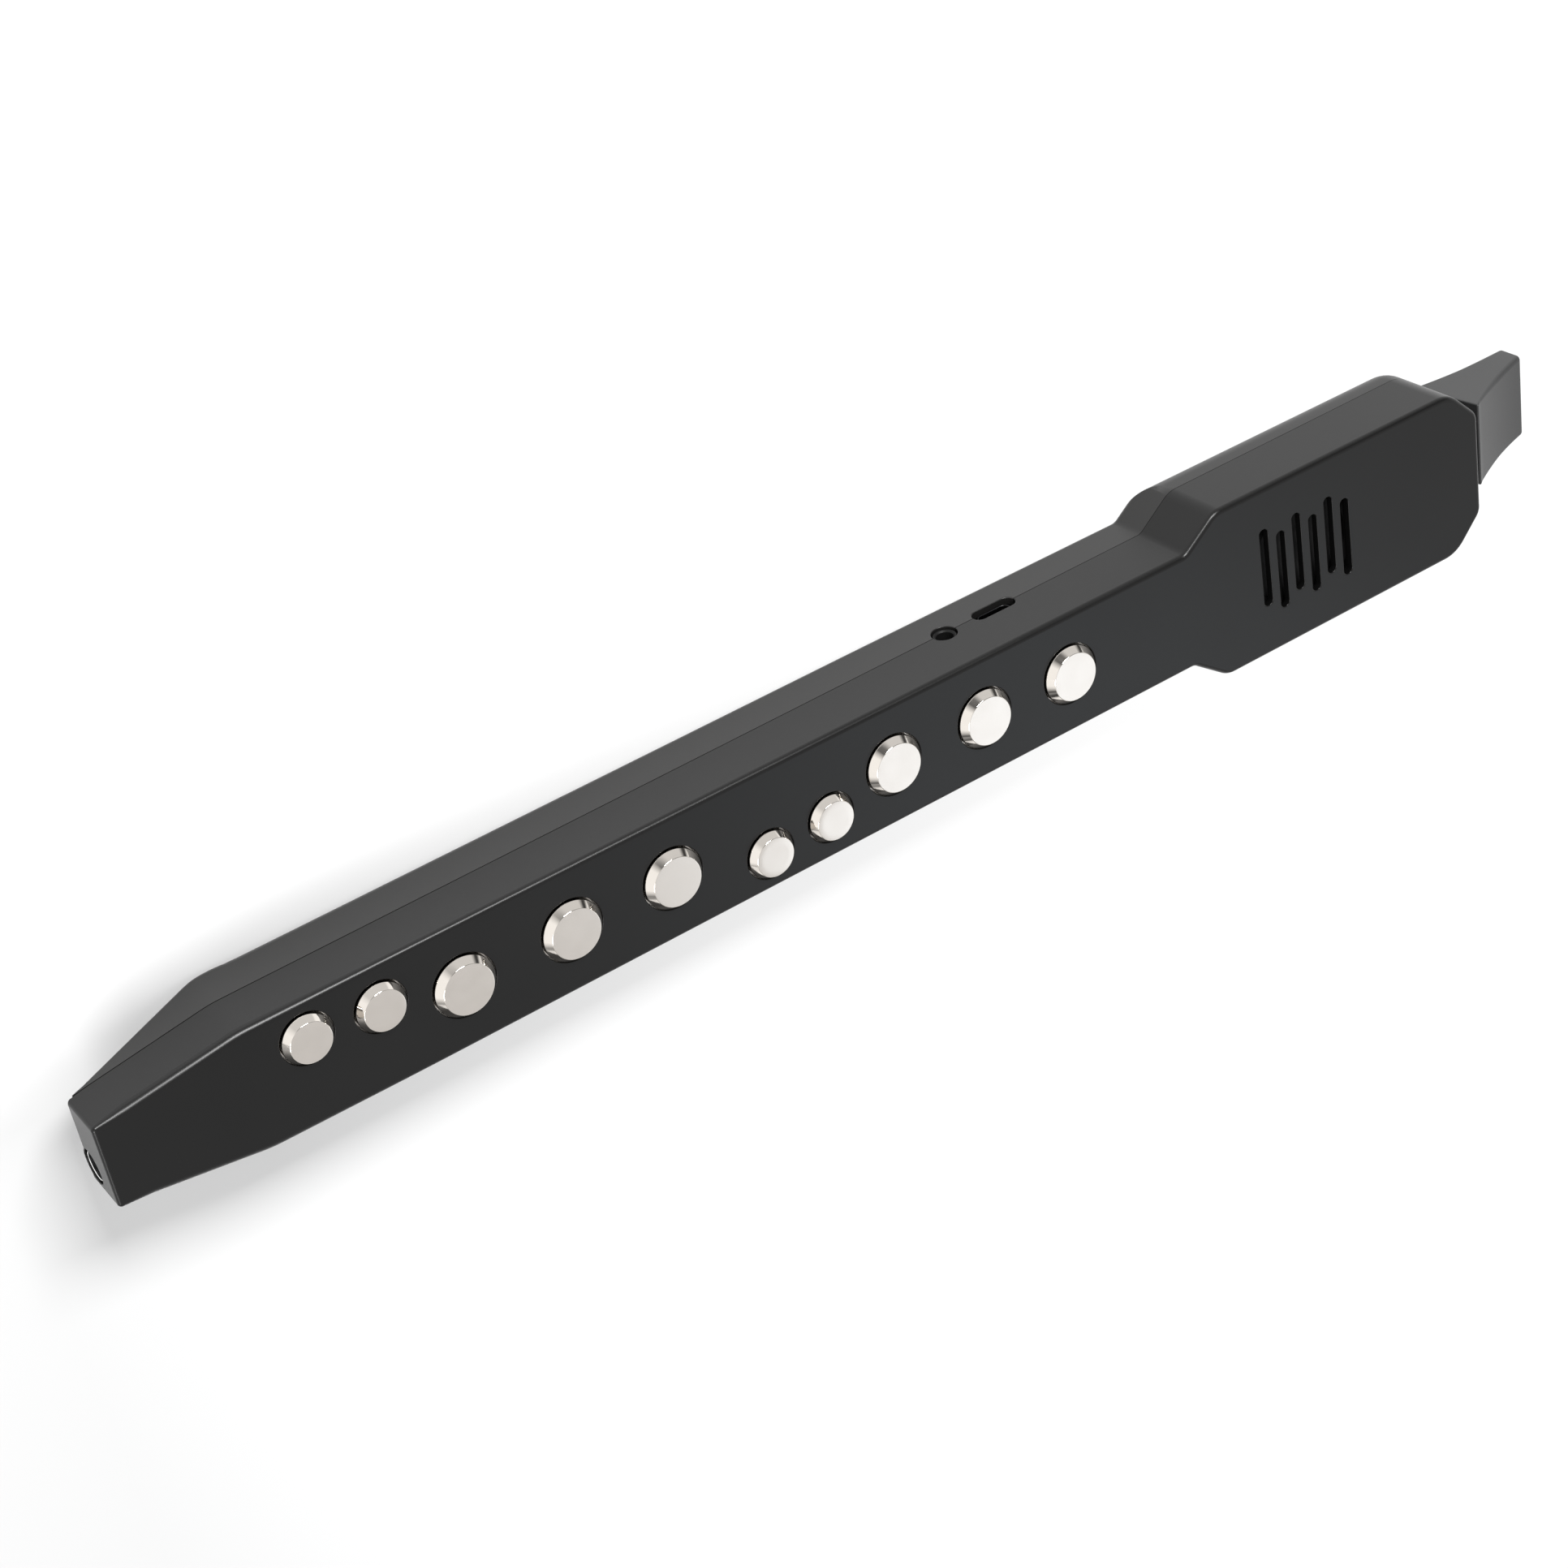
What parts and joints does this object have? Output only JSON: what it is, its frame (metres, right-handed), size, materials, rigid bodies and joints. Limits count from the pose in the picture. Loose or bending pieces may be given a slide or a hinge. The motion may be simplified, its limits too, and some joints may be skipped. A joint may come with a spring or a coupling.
{
  "type": "wind_controller",
  "caption": "Slim black digital wind controller with round nickel finger keys, a loudspeaker head, a pull-off mouthpiece, side sockets, back keys and boards inside.",
  "frame": {"origin": "bottom centre of the bounding box, on the flat back that the instrument rests on", "axes": "+X along the instrument towards the mouthpiece, +Y towards the side with the sockets, +Z out of the front face that carries the finger keys"},
  "size_m": [0.4, 0.0436, 0.028],
  "materials": {
    "shell": "satin moulded black plastic",
    "key_nickel": "satin nickel top with a polished bevel",
    "mouthpiece_plastic": "smooth satin black plastic",
    "neck_plastic": "fine matt black",
    "switch_plastic": "moulded black",
    "board": "green solder mask",
    "connector": "moulded black",
    "bare_steel": "plain plated steel",
    "bright_trim": "polished",
    "foam": "closed-cell foam",
    "cone": "pressed paper",
    "cell_wrap": "foil wrap",
    "lead_sleeve": "soft insulation",
    "window": "dark tinted",
    "seal": "soft black",
    "tube": "translucent silicone"
  },
  "bodies": {
    "case": {"front_shell": "shell", "back_shell": "shell", "key_switch_1": "switch_plastic", "key_switch_2": "switch_plastic", "key_switch_3": "switch_plastic", "key_switch_4": "switch_plastic", "key_switch_5": "switch_plastic", "key_switch_6": "switch_plastic", "key_switch_7": "switch_plastic", "key_switch_8": "switch_plastic", "key_switch_9": "switch_plastic", "key_switch_10": "switch_plastic", "octave_switch_down": "switch_plastic", "octave_switch_up": "switch_plastic", "main_board": "board", "port_board": "board", "control_board": "board", "board_header": "connector", "headphone_jack": "connector", "charging_socket": "bare_steel", "speaker_gasket": "foam", "speaker_frame": "bare_steel", "speaker_cone": "cone", "speaker_magnet": "bare_steel", "battery": "cell_wrap", "battery_pad": "foam", "battery_lead": "lead_sleeve", "speaker_lead": "lead_sleeve", "display_window": "window", "display_module": "connector", "mouthpiece_neck": "neck_plastic", "sealing_ring": "seal", "breath_sensor": "connector", "air_tube": "tube", "drain_tube": "tube", "outlet_sleeve": "bright_trim", "case_screw_1": "bare_steel", "case_screw_2": "bare_steel", "case_screw_3": "bare_steel", "case_screw_4": "bare_steel", "case_screw_5": "bare_steel", "case_screw_6": "bare_steel", "case_screw_7": "bare_steel"},
    "key_1": {"key_cap_1": "key_nickel"},
    "key_2": {"key_cap_2": "key_nickel"},
    "key_3": {"key_cap_3": "key_nickel"},
    "key_4": {"key_cap_4": "key_nickel"},
    "key_5": {"key_cap_5": "key_nickel"},
    "key_6": {"key_cap_6": "key_nickel"},
    "key_7": {"key_cap_7": "key_nickel"},
    "key_8": {"key_cap_8": "key_nickel"},
    "key_9": {"key_cap_9": "key_nickel"},
    "key_10": {"key_cap_10": "key_nickel"},
    "octave_down": {"octave_key_down": "key_nickel"},
    "octave_up": {"octave_key_up": "key_nickel"},
    "power": {"power_button": "switch_plastic"},
    "minus": {"minus_button": "switch_plastic"},
    "plus": {"plus_button": "switch_plastic"},
    "mouthpiece_part": {"mouthpiece": "mouthpiece_plastic"}
  },
  "joints": [
    {"name": "key_1_press", "type": "slide", "parent": "case", "child": "key_1", "axis": [0, 0, -1], "range_m": [0, 0.001], "stiffness_N_per_m": 500},
    {"name": "key_2_press", "type": "slide", "parent": "case", "child": "key_2", "axis": [0, 0, -1], "range_m": [0, 0.001], "stiffness_N_per_m": 500},
    {"name": "key_3_press", "type": "slide", "parent": "case", "child": "key_3", "axis": [0, 0, -1], "range_m": [0, 0.001], "stiffness_N_per_m": 500},
    {"name": "key_4_press", "type": "slide", "parent": "case", "child": "key_4", "axis": [0, 0, -1], "range_m": [0, 0.001], "stiffness_N_per_m": 500},
    {"name": "key_5_press", "type": "slide", "parent": "case", "child": "key_5", "axis": [0, 0, -1], "range_m": [0, 0.001], "stiffness_N_per_m": 500},
    {"name": "key_6_press", "type": "slide", "parent": "case", "child": "key_6", "axis": [0, 0, -1], "range_m": [0, 0.001], "stiffness_N_per_m": 500},
    {"name": "key_7_press", "type": "slide", "parent": "case", "child": "key_7", "axis": [0, 0, -1], "range_m": [0, 0.001], "stiffness_N_per_m": 500},
    {"name": "key_8_press", "type": "slide", "parent": "case", "child": "key_8", "axis": [0, 0, -1], "range_m": [0, 0.001], "stiffness_N_per_m": 500},
    {"name": "key_9_press", "type": "slide", "parent": "case", "child": "key_9", "axis": [0, 0, -1], "range_m": [0, 0.001], "stiffness_N_per_m": 500},
    {"name": "key_10_press", "type": "slide", "parent": "case", "child": "key_10", "axis": [0, 0, -1], "range_m": [0, 0.001], "stiffness_N_per_m": 500},
    {"name": "octave_down_press", "type": "slide", "parent": "case", "child": "octave_down", "axis": [0, 0, 1], "range_m": [0, 0.0008], "stiffness_N_per_m": 500},
    {"name": "octave_up_press", "type": "slide", "parent": "case", "child": "octave_up", "axis": [0, 0, 1], "range_m": [0, 0.0008], "stiffness_N_per_m": 500},
    {"name": "power_press", "type": "slide", "parent": "case", "child": "power", "axis": [0, 0, 1], "range_m": [0, 0.0005], "stiffness_N_per_m": 500},
    {"name": "minus_press", "type": "slide", "parent": "case", "child": "minus", "axis": [0, 0, 1], "range_m": [0, 0.0005], "stiffness_N_per_m": 500},
    {"name": "plus_press", "type": "slide", "parent": "case", "child": "plus", "axis": [0, 0, 1], "range_m": [0, 0.0005], "stiffness_N_per_m": 500},
    {"name": "mouthpiece_pull", "type": "slide", "parent": "case", "child": "mouthpiece_part", "axis": [1, 0, 0], "range_m": [0, 0.015]}
  ]
}
